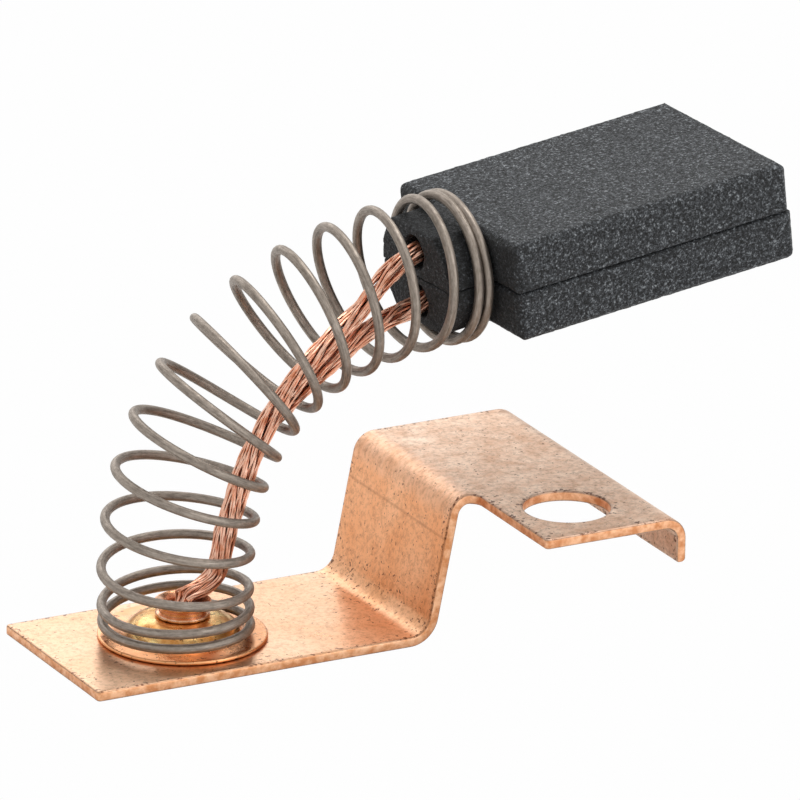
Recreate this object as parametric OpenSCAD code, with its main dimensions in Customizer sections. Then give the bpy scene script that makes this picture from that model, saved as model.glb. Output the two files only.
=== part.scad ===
// Carbon brush for a small motor: a split carbon block on a bent coil spring,
// two copper pigtails inside the spring, and a bent sheet-copper terminal with a screw hole.
// Millimetres. Origin: the axis of the screw hole, on the underside of the shelf. +Z up,
// +X along the terminal strip from its free end towards its lip.

/* [Terminal strip] */
// Thickness of the copper sheet
sheet_t = 0.5; // [0.3:0.05:0.7]
// Width of the strip across its foot, riser and shelf
strip_w = 10; // [9.2:0.1:12]
// Flat length of the foot, from its free end to the lower bend
foot_l = 16.75; // [15.8:0.05:22]
// Height of the shelf above the foot
shelf_rise = 6.85; // [5:0.05:9]
// Lean of the riser away from upright, in degrees
riser_lean = 10.9; // [4:0.1:20]
// Inside radius of the bend between foot and riser
foot_bend_r = 1; // [0.5:0.05:1.4]
// Inside radius of the bend between riser and shelf
shelf_bend_r = 0.6; // [0.3:0.05:1]
// Flat length of the shelf between its two bends
shelf_l = 6.8; // [6.2:0.05:9]
// Inside radius of the bend of the turned-down lip
lip_bend_r = 0.6; // [0.3:0.05:0.9]
// Straight drop of the lip below its bend
lip_drop = 1; // [0.5:0.05:2]

/* [Screw tab] */
// How far the tab reaches out beside the strip
tab_reach = 7.1; // [6.4:0.05:9]
// Distance from the shelf's bend to the tab's left edge
tab_setback = 0.3; // [0:0.05:0.5]
// Radius of the inner corner between strip and tab
notch_r = 0.6; // [0.3:0.05:0.8]
// Diameter of the screw hole
screw_hole_d = 4.2; // [3.2:0.05:5]
// Distance from the tab's left edge to the hole's centre
hole_inset = 3.05; // [2.9:0.05:3.4]
// Distance from the tab's front edge to the hole's centre
hole_setback = 3.6; // [2.9:0.05:3.8]

/* [Spring seat and eyelet] */
// Distance from the foot's free end to the centre of the seat
seat_inset = 7; // [5.4:0.05:8]
// How far the cap's flat rim reaches out past the spring
rim_margin = 0.3; // [0.1:0.05:0.6]
// Sheet thickness of the cap
seat_t = 0.2; // [0.15:0.05:0.3]
// Play between the dome's foot and the inside of the spring
seat_slack = 0.4; // [0.2:0.05:0.5]
// Diameter of the flat top of the dome
dome_top_d = 3; // [2.9:0.05:3.4]
// Height of the dome above the top of the rim
dome_h = 0.85; // [0.6:0.05:1.1]
// Outside diameter of the eyelet's barrel
eyelet_d = 2.3; // [2.2:0.05:2.4]
// Wall thickness of the eyelet's barrel
eyelet_wall = 0.22; // [0.18:0.01:0.24]
// Diameter of the rolled mouth of the eyelet
mouth_d = 2.8; // [2.6:0.05:3]
// Height of the rolled mouth above the top of the dome
mouth_h = 0.8; // [0.75:0.05:1]
// Height over which the mouth flares out
flare_h = 0.45; // [0.35:0.05:0.6]

/* [Spring] */
// Diameter of the spring wire
wire_d = 0.5; // [0.4:0.02:0.6]
// Play between the neck and the inside of the spring
neck_slack = 0.15; // [0.12:0.01:0.3]
// Closed turns that sit on the seat
seat_turns = 2; // [1:0.1:2.5]
// Closed turns that grip the neck
neck_turns = 2.3; // [1.5:0.1:3]
// Open turns between the two run-outs
open_turns = 10; // [8:0.5:11]
// Angle at which the wire starts on the seat, in degrees
coil_start = 252; // [0:1:360]

/* [Carbon block] */
// Length of the block from its shoulder to the contact face
block_l = 15.6; // [12:0.1:20]
// Width of the block
block_w = 11; // [9.5:0.1:13]
// Thickness of the two halves together
block_t = 5; // [4.6:0.1:6]
// Chamfer along the joint line and the outer edges
edge_chamfer = 0.3; // [0.1:0.05:0.4]
// How much shorter the upper half is at the contact face
half_step = 0.15; // [0:0.05:0.4]
// Diameter of the turned neck that centres the spring
neck_d = 6.3; // [6:0.05:6.6]
// Length of the neck
neck_l = 2.4; // [2:0.05:3.5]
// Diameter of the pigtail holes
shunt_hole_d = 1.7; // [1.6:0.05:1.8]
// Depth of the pigtail holes
shunt_hole_depth = 6; // [4.5:0.1:8]
// Distance between the two pigtail holes
shunt_pitch = 2.5; // [2.3:0.05:2.7]
// Length of the tamped plug that grips each rope
plug_l = 4.2; // [3:0.1:4.3]

/* [Pose of the block] */
// Horizontal distance from the seat's axis to the block's shoulder
block_reach = 15.1; // [14:0.1:18]
// Height of the block's axis at the shoulder above the foot's underside
block_height = 16.9; // [15.5:0.05:20]
// Upward pitch of the block's axis, in degrees
block_pitch = 6.7; // [0:0.1:12]
// Swing of the block's axis away from the strip's length, in degrees
block_yaw = 2.9; // [0:0.1:6]

/* [Pigtails] */
// Diameter of each copper rope between its ends
rope_d = 1.06; // [0.9:0.02:1.1]
// Turns that the two ropes make round each other
rope_wraps = 0.17; // [0.12:0.01:0.25]
// Strand bundles in each rope
rope_strands = 7; // [5:1:8]
// Length in which a strand bundle winds once round its rope
rope_lay = 13; // [9:0.5:18]

/* [Hidden] */

copper = "#c98f63";
bright_copper = "#c9805f";
gilt = "#d8a15a";
spring_steel = "#80756c";
carbon = "#3b3d42";
powder = "#8a4f34";

seat_gap = 0.02;       // between pieces that rest on each other
fit_gap = 0.05;        // round the eyelet, in its holes
bend_steps = 12;       // flats in a quarter of a bend
through = 1;           // how far a cutting tool runs past a face

// The coil fits round the neck, and the cap's dome and rim fit the coil
coil_d = neck_d + wire_d + 2 * neck_slack;
dome_foot_d = coil_d - wire_d - 2 * seat_slack;
seat_rim_d = coil_d + wire_d + 2 * rim_margin;
// Both ropes go down the eyelet's bore side by side
rope_end_d = (eyelet_d - 2 * eyelet_wall) / 2 - 2 * fit_gap;

// Heights above the row's origin
foot_z = -shelf_rise;
foot_top = foot_z + sheet_t;
rim_top = foot_top + seat_t;
dome_top = rim_top + dome_h;
mouth_top = dome_top + mouth_h;

// The terminal's plan
tab_left = -hole_inset;
tab_front = -hole_setback;
strip_front = tab_front + tab_reach;
strip_back = strip_front + strip_w;
shelf_bend_x = tab_left - tab_setback;
lip_bend_x = shelf_bend_x + shelf_l;
shelf_right = lip_bend_x + lip_bend_r + sheet_t;

// The riser: heading is its direction of travel above +X
heading = 90 - riser_lean;
turn_r = foot_bend_r + sheet_t + shelf_bend_r;
riser_run = (shelf_rise - turn_r + turn_r * cos(heading)) / sin(heading);
foot_bend_x = shelf_bend_x - turn_r * sin(heading) - riser_run * cos(heading);
foot_end = foot_bend_x - foot_l;
foot_bend_z = foot_top + foot_bend_r;

// The seat's axis carries the eyelet, the spring's base and the block's swing
seat_x = foot_end + seat_inset;
seat_y = (strip_front + strip_back) / 2;

// The block's axis, in the upright plane through the seat's axis
shoulder = [block_reach, foot_z + block_height];
along = [cos(block_pitch), sin(block_pitch)];

// Points on an arc round c, from angle a0 to a1
function arc(c, r, a0, a1, n) = [for (i = [0:n]) let (a = a0 + (a1 - a0) * i / n) c + r * [cos(a), sin(a)]];

// ---------------------------------------------------------------- terminal strip

// Section of the folded sheet in X and Z: down its upper side, back along its underside
module strip_section() {
    foot_bend = [foot_bend_x, foot_bend_z];
    shelf_bend = [shelf_bend_x, -shelf_bend_r];
    lip_bend = [lip_bend_x, -lip_bend_r];
    lip_end = -lip_bend_r - lip_drop;
    edge_r = sheet_t / 2 - 0.01;
    polygon(concat(
        [[foot_end, foot_top]],
        arc(foot_bend, foot_bend_r, -90, heading - 90, bend_steps),
        arc(shelf_bend, shelf_bend_r + sheet_t, heading + 90, 90, bend_steps),
        arc(lip_bend, lip_bend_r + sheet_t, 90, 0, bend_steps),
        arc([shelf_right - edge_r, lip_end], edge_r, 0, -90, 4),
        arc([lip_bend_x + lip_bend_r + edge_r, lip_end], edge_r, -90, -180, 4),
        arc(lip_bend, lip_bend_r, 0, 90, bend_steps),
        arc(shelf_bend, shelf_bend_r, 90, heading + 90, bend_steps),
        arc(foot_bend, foot_bend_r + sheet_t, heading - 90, -90, bend_steps),
        [[foot_end, foot_z]]
    ));
}

// Outline of the blank as seen from above, with a rounded inner corner beside the tab
module strip_plan() {
    polygon(concat(
        [[foot_end - through, strip_front]],
        arc([tab_left - notch_r, strip_front - notch_r], notch_r, 90, 0, 6),
        [[tab_left, tab_front], [shelf_right + through, tab_front],
         [shelf_right + through, strip_back], [foot_end - through, strip_back]]
    ));
}

module terminal_strip() {
    hole_d = eyelet_d + 2 * fit_gap;
    color(copper) difference() {
        intersection() {
            translate([0, strip_back + through, 0]) rotate([90, 0, 0])
                linear_extrude(strip_w + tab_reach + 2 * through) strip_section();
            translate([0, 0, foot_z - through])
                linear_extrude(shelf_rise + sheet_t + 2 * through) strip_plan();
        }
        translate([0, 0, -through]) cylinder(d = screw_hole_d, h = sheet_t + 2 * through, $fn = 64);
        translate([seat_x, seat_y, foot_z - through]) cylinder(d = hole_d, h = sheet_t + 2 * through, $fn = 48);
        // countersink for the eyelet's rolled end
        translate([seat_x, seat_y, foot_z]) rotate_extrude($fn = 48)
            polygon([[0, -through], [hole_d / 2 + sheet_t / 2 + through, -through], [hole_d / 2, sheet_t / 2], [0, sheet_t / 2]]);
    }
}

// ---------------------------------------------------------------- spring seat and eyelet

// Radius of the arc that joins the dome's foot to the edge of its top
function dome_r(foot, top, h) = ((foot - top) * (foot - top) + h * h) / (2 * h);

// Outline of the dome from its foot inwards; the arc is level at the top
function dome_line(foot, top, base_z, h, n) =
    let (r = dome_r(foot, top, h), sweep = asin((foot - top) / r))
    [for (i = [0:n]) let (a = sweep * (1 - i / n)) [top + r * sin(a), base_z + h - r * (1 - cos(a))]];

module spring_seat() {
    rim_r = seat_rim_d / 2;
    hole_r = eyelet_d / 2 + fit_gap;
    outer = dome_line(dome_foot_d / 2, dome_top_d / 2, rim_top, dome_h, 10);
    inner = dome_line(dome_foot_d / 2 - seat_t, dome_top_d / 2 - seat_t / 2, foot_top + seat_gap,
                      dome_h, 10);
    under = foot_top + seat_gap;
    color(copper) translate([seat_x, seat_y, 0]) rotate_extrude($fn = 72)
        polygon(concat(
            [[rim_r - seat_t / 2, under], [rim_r, under + seat_t / 2], [rim_r - seat_t / 2, rim_top]],
            outer,
            [[hole_r, dome_top], [hole_r, dome_top - seat_t]],
            [for (i = [10:-1:0]) inner[i]]
        ));
}

// Hollow rivet: an end rolled into the countersink, a bead on top of the dome, and a flared mouth
module eyelet() {
    outer_r = eyelet_d / 2;
    bore_r = outer_r - eyelet_wall;
    mouth_r = mouth_d / 2;
    lip_r = eyelet_wall / 2;
    foot_flare = sheet_t / 2 - lip_r;
    bead_z = dome_top + seat_gap;
    bead = 0.2;
    flare_z = mouth_top - flare_h;
    color(gilt) translate([seat_x, seat_y, 0]) rotate_extrude($fn = 48)
        polygon(concat(
            [[bore_r + foot_flare, foot_z + 0.01], [outer_r + foot_flare, foot_z + 0.01],
             [outer_r, foot_z + sheet_t / 2], [outer_r, bead_z], [outer_r + bead, bead_z],
             [outer_r + bead, bead_z + bead / 2], [outer_r, bead_z + bead], [outer_r, flare_z]],
            arc([mouth_r - lip_r, mouth_top - lip_r], lip_r, -45, 135, 8),
            [[bore_r, flare_z + lip_r], [bore_r, foot_z + sheet_t / 2]]
        ));
}

// ---------------------------------------------------------------- curves in the upright plane

// Curve drawn by its control points, from t = 0 at the first to t = 1 at the last
function bezier(p, t) = len(p) == 1 ? p[0] :
    bezier([for (i = [0:len(p) - 2]) (1 - t) * p[i] + t * p[i + 1]], t);

// Smooth curve through every point of a list
function through_points(p, t) =
    let (n = len(p) - 1, i = min(n - 1, floor(t * n)), a = p[max(0, i - 1)], b = p[i], c = p[i + 1],
         d = p[min(n, i + 2)])
    bezier([b, b + (c - a) / 6, c - (d - b) / 6, c], t * n - i);

// Up to five points are control points; a longer list is passed through
function on_line(p, t) = len(p) <= 5 ? bezier(p, t) : through_points(p, t);
function slope(p, t) = let (d = on_line(p, min(1, t + 0.001)) - on_line(p, max(0, t - 0.001))) d / norm(d);

// Running length of a line at each of n equal steps, as a cumulative list
function run_up(p, n, i = 0, acc = [0]) = i == n ? acc :
    run_up(p, n, i + 1, concat(acc, [acc[i] + norm(on_line(p, (i + 1) / n) - on_line(p, i / n))]));

// The line's parameter at a running length
function at_length(run, s) = lookup(s, [for (i = [0:len(run) - 1]) [run[i], i / (len(run) - 1)]]);

// Closed tube over rings of equal size: side quads as triangles, and flat ends
module skin(rings) {
    n = len(rings);
    m = len(rings[0]);
    points = [for (r = rings) each r];
    sides = [for (i = [0:n - 2], j = [0:m - 1]) let (a = i * m + j, b = i * m + (j + 1) % m)
             each [[a, a + m, b], [b, a + m, b + m]]];
    ends = [[for (j = [0:m - 1]) j], [for (j = [m - 1:-1:0]) (n - 1) * m + j]];
    polyhedron(points = points, faces = concat(sides, ends), convexity = 10);
}

// Places what is drawn in the upright plane (X outwards, Z up) on the seat's axis
module on_seat_axis() translate([seat_x, seat_y, 0]) rotate([0, 0, block_yaw]) children();

// ---------------------------------------------------------------- spring

closed_pitch = wire_d + 0.04;
spring_base = rim_top + seat_gap + wire_d / 2;
spring_shift = seat_slack - fit_gap;    // the coil lies against the dome on one side
neck_stop = shoulder - (wire_d / 2 + seat_gap) * along;
spring_lean = 2.5;      // the bent spring bulges backwards before it turns to the block
spring_stub = 2.7;
spring_rise = 16.8;
spring_run = 2.5;
spring_line = [[-spring_shift, spring_base], [-spring_shift, spring_base + spring_stub],
               [-spring_shift - spring_lean, spring_base + spring_rise],
               neck_stop - spring_run * along, neck_stop];
line_steps = 80;
spring_length = run_up(spring_line, line_steps);
spring_total = spring_length[line_steps];

// One run-out turn lies between the closed and the open turns at each end
turns = seat_turns + neck_turns + open_turns + 2;
open_pitch = (spring_total - (seat_turns + neck_turns + 1) * closed_pitch) / (open_turns + 1);

// How far along the centre line the wire is, a number of turns from an end with its closed turns
function end_climb(t, closed) = let (u = t - closed)
    u < 0 ? closed_pitch * t :
    u < 1 ? closed_pitch * t + (open_pitch - closed_pitch) * u * u / 2 :
    closed_pitch * (closed + 0.5) + open_pitch * (u - 0.5);
function climb(t) = t < turns / 2 ? end_climb(t, seat_turns) : spring_total - end_climb(turns - t, neck_turns);

// Centre of the wire after t turns; the wire is left-hand wound
function wire_at(t) =
    let (k = at_length(spring_length, climb(t)), c = on_line(spring_line, k), d = slope(spring_line, k),
         a = -coil_start + 360 * t, side = [d[1], 0, -d[0]])
    [c[0], 0, c[1]] + coil_d / 2 * (cos(a) * side - sin(a) * [0, 1, 0]);

module spring() {
    per_turn = 22;
    wire_sides = 8;
    steps = round(turns * per_turn);
    rings = [for (i = [0:steps]) let (t = turns * i / steps, dt = 0.01,
        p = wire_at(t), ahead = wire_at(min(turns, t + dt)) - wire_at(max(0, t - dt)),
        dir = ahead / norm(ahead), k = at_length(spring_length, climb(t)), c = on_line(spring_line, k),
        out0 = p - [c[0], 0, c[1]], out1 = out0 - (out0 * dir) * dir, out = out1 / norm(out1),
        up = cross(dir, out))
        [for (j = [0:wire_sides - 1]) let (a = 360 * j / wire_sides)
            p + wire_d / 2 * (cos(a) * out + sin(a) * up)]];
    color(spring_steel) on_seat_axis() skin(rings);
}

// ---------------------------------------------------------------- pigtails

hole_mouth = shoulder - neck_l * along;
plug_face = shunt_hole_depth - plug_l;
rope_start = foot_z + 0.1;
straight_in = 0.5;      // straight stretch of the ropes inside their holes' mouths
// Where the ropes' middle line runs on its way, as shares of the way from the eyelet's mouth to the holes
rope_way = [[0.1, 0.065], [0.14, 0.13], [0.155, 0.23], [0.185, 0.343], [0.243, 0.472], [0.333, 0.602],
            [0.461, 0.717], [0.628, 0.81], [0.803, 0.891], [0.93, 0.958]];
rope_line = concat(
    [[0, rope_start], [0, dome_top], [0, mouth_top - 0.15]],
    [for (w = rope_way) [w[0] * hole_mouth[0], mouth_top + w[1] * (hole_mouth[1] - mouth_top)]],
    [hole_mouth + straight_in * along, hole_mouth + (plug_face - seat_gap) * along]);
rope_steps = 68;
rope_length = run_up(rope_line, 2 * line_steps);
rope_total = rope_length[2 * line_steps];
eyelet_depth = mouth_top - rope_start;
parting = 4.2;          // length over which the ropes part towards their holes
sway = 0.8;             // how far the ropes' middle line bows forwards
sway_in = 6;            // length over which it bows out at each end
upright = 7;            // length above the eyelet over which the ropes stay side by side

function ease(u) = let (v = max(0, min(1, u))) v * v * (3 - 2 * v);

// Radius of a rope and half the distance between the two, at a running length
function rope_r(s) = (rope_end_d + (rope_d - rope_end_d) * ease((s - eyelet_depth) / 4)) / 2;
function rope_spread(s) = let (near = rope_r(s) + 0.03, left = rope_total - s)
    near + (shunt_pitch / 2 - near) * ease(1 - (left - plug_face) / parting);
// The ropes also sway forwards between their ends
function rope_sway(s) = -sway * ease((s - eyelet_depth) / sway_in) * ease((rope_total - parting - s) / sway_in);
function rope_turn(s) = let (first = eyelet_depth + upright)
    -360 * rope_wraps * (1 - ease((s - first) / (rope_total - parting - first)));

// Ring of a rope; side is 1 for the upper rope and -1 for the lower one
function rope_ring(s, side) =
    let (k = at_length(rope_length, s), c = on_line(rope_line, k), d = slope(rope_line, k),
         dir = [d[0], 0, d[1]], up = [-d[1], 0, d[0]], across = [0, 1, 0],
         a = rope_turn(s), r = rope_r(s), lobes = 4 * rope_strands,
         p = [c[0], rope_sway(s), c[1]] + side * rope_spread(s) * (cos(a) * up + sin(a) * across))
    [for (j = [lobes:-1:1]) let (b = 360 * j / lobes, v = b + 360 * s / rope_lay,
         rr = r * (1 - 0.09 * (1 + cos(rope_strands * b))))
         p + rr * (cos(v) * up + sin(v) * across)];

module rope(side) {
    last = rope_total - 0.01;
    color(bright_copper) on_seat_axis()
        skin([for (i = [0:rope_steps]) rope_ring(last * i / rope_steps, side)]);
}

module pigtail_upper() rope(1);
module pigtail_lower() rope(-1);

// ---------------------------------------------------------------- carbon block

// Places a part drawn along +X from the shoulder onto the pitched block axis
module on_block() on_seat_axis() translate([shoulder[0], 0, shoulder[1]]) rotate([0, -block_pitch, 0]) children();

// A bar of one half: a box with chamfered long edges and ends
module chamfered_bar(l, w, h, c) {
    intersection() {
        rotate([90, 0, 90]) linear_extrude(l)
            polygon([[-w / 2, c], [-w / 2 + c, 0], [w / 2 - c, 0], [w / 2, c],
                     [w / 2, h - c], [w / 2 - c, h], [-w / 2 + c, h], [-w / 2, h - c]]);
        linear_extrude(h)
            polygon([[0, -w / 2 + c], [c, -w / 2], [l - c, -w / 2], [l, -w / 2 + c],
                     [l, w / 2 - c], [l - c, w / 2], [c, w / 2], [0, w / 2 - c]]);
        translate([0, w / 2 + through, 0]) rotate([90, 0, 0]) linear_extrude(w + 2 * through)
            polygon([[0, c], [c, 0], [l - c, 0], [l, c], [l, h - c], [l - c, h], [c, h], [0, h - c]]);
    }
}

// The upper half; the lower one is its mirror image
module carbon_half(l) {
    half_t = block_t / 2 - seat_gap / 2;
    difference() {
        union() {
            chamfered_bar(l, block_w, half_t, edge_chamfer);
            intersection() {
                translate([-neck_l, 0, -seat_gap / 2]) rotate([0, 90, 0])
                    cylinder(d = neck_d, h = neck_l + half_t, $fn = 96);
                translate([-neck_l - through, -neck_d, 0]) cube([neck_l + through + half_t, 2 * neck_d, half_t]);
            }
        }
        translate([-neck_l - through, 0, shunt_pitch / 2 - seat_gap / 2]) rotate([0, 90, 0])
            cylinder(d = shunt_hole_d, h = shunt_hole_depth + through, $fn = 48);
    }
}

module carbon_upper() color(carbon) on_block() translate([0, 0, seat_gap / 2]) carbon_half(block_l - half_step);
module carbon_lower() color(carbon) on_block() mirror([0, 0, 1]) translate([0, 0, seat_gap / 2]) carbon_half(block_l);

// Copper powder tamped round the rope's end at the bottom of its hole
module tamping(side) color(powder) on_block()
    translate([-neck_l + plug_face, 0, side * shunt_pitch / 2]) rotate([0, 90, 0])
        cylinder(d = shunt_hole_d - 0.02, h = plug_l - 0.01, $fn = 48);

module tamping_upper() tamping(1);
module tamping_lower() tamping(-1);

terminal_strip();
spring_seat();
eyelet();
spring();
pigtail_upper();
pigtail_lower();
carbon_upper();
carbon_lower();
tamping_upper();
tamping_lower();
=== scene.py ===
# %% [markdown]
# # A carbon brush
#
# A carbon brush carries current into a spinning motor. This one has a split block of pressed
# carbon, a bent steel spring that pushes it, two copper ropes that carry the current, and a
# folded copper strip with a hole for a screw. The CAD model gives every size and place.
# This notebook builds a finer mesh and a real finish for each piece, in that same frame.
# Sizes are in millimetres, and MM turns them into metres.

import math
from functools import partial

import bmesh
import bpy
from mathutils import Matrix, Vector, noise
from mathutils.geometry import delaunay_2d_cdt
from mathutils.kdtree import KDTree


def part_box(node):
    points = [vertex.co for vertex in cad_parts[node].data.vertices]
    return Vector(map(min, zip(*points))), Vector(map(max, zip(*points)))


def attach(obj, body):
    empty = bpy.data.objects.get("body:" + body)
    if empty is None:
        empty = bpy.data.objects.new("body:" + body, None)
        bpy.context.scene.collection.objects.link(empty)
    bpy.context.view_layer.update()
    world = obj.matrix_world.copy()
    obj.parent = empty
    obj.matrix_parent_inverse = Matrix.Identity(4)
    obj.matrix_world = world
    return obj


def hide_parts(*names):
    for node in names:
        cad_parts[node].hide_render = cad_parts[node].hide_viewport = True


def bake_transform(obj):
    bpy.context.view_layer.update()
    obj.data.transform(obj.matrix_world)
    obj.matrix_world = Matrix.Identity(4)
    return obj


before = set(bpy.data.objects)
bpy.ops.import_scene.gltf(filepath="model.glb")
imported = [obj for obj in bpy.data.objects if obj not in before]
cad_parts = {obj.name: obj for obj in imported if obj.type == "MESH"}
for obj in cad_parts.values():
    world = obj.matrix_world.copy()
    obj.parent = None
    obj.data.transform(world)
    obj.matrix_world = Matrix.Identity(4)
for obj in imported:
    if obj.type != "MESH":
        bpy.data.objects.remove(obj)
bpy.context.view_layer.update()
MM = 0.001
print("CAD nodes:", sorted(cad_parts))

# %% [markdown]
# ## The camera
#
# A long lens far from a small object shows it almost without perspective. A camera can be
# placed by coordinates or by direction. This one looks at the middle of the brush from a
# little above and to its left, and azimuth, elevation and distance say that more plainly than
# coordinates would. It is also rolled by one degree.

# %% Camera
AIM = Vector((-6.6, 4.7, 5.4)) * MM
AZIMUTH = math.radians(-28.2)
ELEVATION = math.radians(19.95)
ROLL = math.radians(0.98)
DISTANCE = 564 * MM
LENS = 533


def camera_axes(azimuth, elevation, roll):
    """The camera's right, up and backward directions."""
    back = Vector((math.sin(azimuth) * math.cos(elevation),
                   -math.cos(azimuth) * math.cos(elevation), math.sin(elevation)))
    right = Vector((math.cos(azimuth), math.sin(azimuth), 0))
    up = back.cross(right)
    rolled_right = right * math.cos(roll) + up * math.sin(roll)
    rolled_up = up * math.cos(roll) - right * math.sin(roll)
    return rolled_right, rolled_up, back


right, up, back = camera_axes(AZIMUTH, ELEVATION, ROLL)
turn = Matrix((right, up, back)).transposed().to_4x4()
lens = bpy.data.cameras.new("camera")
lens.lens = LENS
lens.clip_start = 0.01
lens.clip_end = 10
camera = bpy.data.objects.new("camera", lens)
camera.matrix_world = Matrix.Translation(AIM + back * DISTANCE) @ turn
bpy.context.scene.collection.objects.link(camera)
bpy.context.scene.camera = camera
print("camera at", [round(c, 3) for c in camera.location], "m")

# %% [markdown]
# ## The copper strip
#
# The strip is the brush's terminal: a foot that carries the spring, a leaning riser, and a
# shelf with a screw tab and a turned-down lip. Four bevelled boxes could stand for these, but
# the real strip is blanked flat from rolled sheet and folded in a press, so it is made the
# same way here. A flat blank with its holes is cut out and thickened, its sheared edges are
# rounded a little, and every point is carried round the bends. The sheet keeps its thickness
# that way, and each point still knows its place on the blank, which the finish needs.

# %% Sizes of the strip, in millimetres
strip_low, strip_high = (Vector(corner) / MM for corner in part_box("terminal_strip"))
foot_end = strip_low.x
foot_z = strip_low.z
tab_front = strip_low.y
strip_back = strip_high.y
SHEET = 0.5
STRIP_WIDTH = 10
FOOT_LENGTH = 16.75
RISER_LEAN = 10.9
FOOT_BEND = 1.0
SHELF_BEND = 0.6
SHELF_LENGTH = 6.8
LIP_BEND = 0.6
LIP_DROP = 1.24
LIP_ROUND = 0.24
strip_front = strip_back - STRIP_WIDTH
print("foot from", round(foot_end, 2), "at height", round(foot_z, 2), "front edge", round(strip_front, 2))

# %% Path of the folded sheet
heading = math.radians(90 - RISER_LEAN)
both_bends = FOOT_BEND + SHEET + SHELF_BEND
riser_run = (-foot_z - both_bends + both_bends * math.cos(heading)) / math.sin(heading)
foot_turn = (FOOT_BEND + SHEET / 2) * heading
shelf_turn = (SHELF_BEND + SHEET / 2) * heading
lip_turn = (LIP_BEND + SHEET / 2) * math.pi / 2
foot_bend_at = (foot_end + FOOT_LENGTH, foot_z + SHEET + FOOT_BEND)
shelf_bend_at = (foot_bend_at[0] + both_bends * math.sin(heading) + riser_run * math.cos(heading),
                 -SHELF_BEND)
lip_bend_at = (shelf_bend_at[0] + SHELF_LENGTH, -LIP_BEND)
lengths = [FOOT_LENGTH, foot_turn, riser_run, shelf_turn, SHELF_LENGTH, lip_turn, LIP_DROP]
stations = [sum(lengths[:i]) for i in range(len(lengths) + 1)]


def folded(s, h):
    """Where a point lies that is s along the blank and h above its underside, as (x, z)."""
    if s < stations[1]:
        return foot_end + s, foot_z + h
    if s < stations[2]:
        angle = (s - stations[1]) / (FOOT_BEND + SHEET / 2)
        r = FOOT_BEND + SHEET - h
        return foot_bend_at[0] + r * math.sin(angle), foot_bend_at[1] - r * math.cos(angle)
    if s < stations[3]:
        r, run = FOOT_BEND + SHEET - h, s - stations[2]
        return (foot_bend_at[0] + r * math.sin(heading) + run * math.cos(heading),
                foot_bend_at[1] - r * math.cos(heading) + run * math.sin(heading))
    if s < stations[4]:
        angle = heading - (s - stations[3]) / (SHELF_BEND + SHEET / 2)
        r = SHELF_BEND + h
        return shelf_bend_at[0] - r * math.sin(angle), shelf_bend_at[1] + r * math.cos(angle)
    if s < stations[5]:
        return shelf_bend_at[0] + s - stations[4], h
    if s < stations[6]:
        angle = (s - stations[5]) / (LIP_BEND + SHEET / 2)
        r = LIP_BEND + h
        return lip_bend_at[0] + r * math.sin(angle), lip_bend_at[1] + r * math.cos(angle)
    return lip_bend_at[0] + LIP_BEND + h, lip_bend_at[1] - (s - stations[6])


print("flat length of the blank:", round(stations[-1], 2), "mm")

# %% Outline of the blank
CORNER = 0.2
TAB_SETBACK = 0.3
NOTCH = 0.6
tab_at = stations[4] + TAB_SETBACK


def arc(centre, radius, start, end, steps):
    """Points on an arc, angles in degrees."""
    angles = [math.radians(start + (end - start) * i / steps) for i in range(steps + 1)]
    return [(centre[0] + radius * math.cos(a), centre[1] + radius * math.sin(a)) for a in angles]


def blank_outline(inset):
    """The blank's outer edge, as a list of (s, y), moved inwards by the inset."""
    r = CORNER - inset
    end = stations[-1]
    return (arc((CORNER, strip_front + CORNER), r, 180, 270, 4)
            + arc((tab_at - NOTCH, strip_front - NOTCH), NOTCH + inset, 90, 0, 10)
            + arc((tab_at + CORNER, tab_front + CORNER), r, 180, 270, 4)
            + arc((end - CORNER, tab_front + CORNER), r, 270, 360, 4)
            + arc((end - CORNER, strip_back - CORNER), r, 0, 90, 4)
            + arc((CORNER, strip_back - CORNER), r, 90, 180, 4))


print("tab starts", round(tab_at, 2), "mm along the blank")

# %% Holes of the blank
SCREW_HOLE = 4.2
EYELET_HOLE = 2.4
COUNTERSINK = 0.25
# The screw hole's edge is rounded this share as far as the others
SCREW_ROUNDING = 0.5
seat_x, seat_y = ((a + b) / 2 / MM for a, b in zip(*[corner[:2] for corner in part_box("eyelet")]))
hole_at = stations[4] - shelf_bend_at[0]


def blank_holes(inset, sunk=0.0):
    """The screw hole and the eyelet's hole, widened by the inset; the eyelet's is also sunk."""
    return [arc((hole_at, 0), SCREW_HOLE / 2 + SCREW_ROUNDING * inset, 0, 355, 71),
            arc((seat_x - foot_end, seat_y), EYELET_HOLE / 2 + inset + sunk, 0, 352.5, 47)]


print("screw hole is", round(hole_at, 2), "mm along the blank")

# %% Grid that fills the blank
GRID = 0.3
BEND_GRID = 0.12
# The grid keeps this far from every edge
RIM_GAP = 0.08


def inside(point, outline):
    """True if the point is within the closed outline."""
    x, y = point
    odd = False
    for (ax, ay), (bx, by) in zip(outline, outline[1:] + outline[:1]):
        if (ay > y) != (by > y) and x < ax + (y - ay) * (bx - ax) / (by - ay):
            odd = not odd
    return odd


def splits(outline, width):
    """A closed outline with its straight stretches cut into pieces of about that width."""
    points = []
    for (ax, ay), (bx, by) in zip(outline, outline[1:] + outline[:1]):
        parts = max(1, round(math.hypot(bx - ax, by - ay) / width))
        points += [(ax + (bx - ax) * i / parts, ay + (by - ay) * i / parts) for i in range(parts)]
    return points


def grid_steps():
    """Places along the blank for the grid, closer together in the bends."""
    bends = ((stations[1], stations[2]), (stations[3], stations[4]), (stations[5], stations[6]))
    places = [0.0]
    while places[-1] < stations[-1]:
        s = places[-1]
        bent = any(a - BEND_GRID <= s < b + BEND_GRID for a, b in bends)
        places.append(s + (BEND_GRID if bent else GRID))
    return places


print("grid has", len(grid_steps()), "steps along the blank")

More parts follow.
